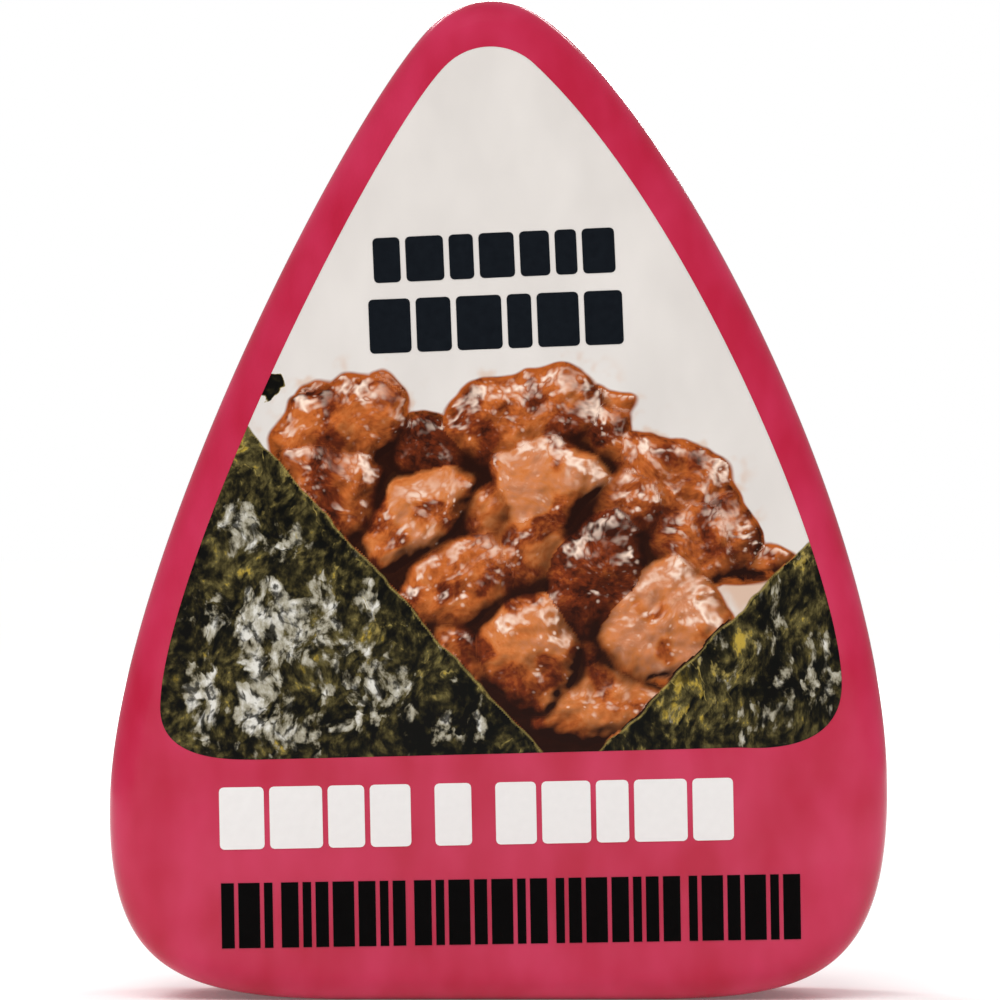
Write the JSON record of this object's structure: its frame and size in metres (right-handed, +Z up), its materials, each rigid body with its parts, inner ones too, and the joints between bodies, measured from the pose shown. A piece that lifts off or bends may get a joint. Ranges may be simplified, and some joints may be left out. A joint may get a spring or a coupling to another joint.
{
  "type": "onigiri pack",
  "caption": "Shut rice ball pack: a rounded triangular block in printed film, with a picture window, a plain bar strip and a lapped back seam; it stands on its flat foot.",
  "frame": {"origin": "middle of the bounding box, on the surface that the pack stands on", "axes": "+Z up through the apex, +X to the right of someone looking at the printed front, -Y out of the printed front"},
  "size_m": [0.0778, 0.03, 0.0999],
  "materials": {
    "printed_film": "satin"
  },
  "bodies": {
    "root": {"onigiri_pack": "printed_film"}
  },
  "joints": []
}
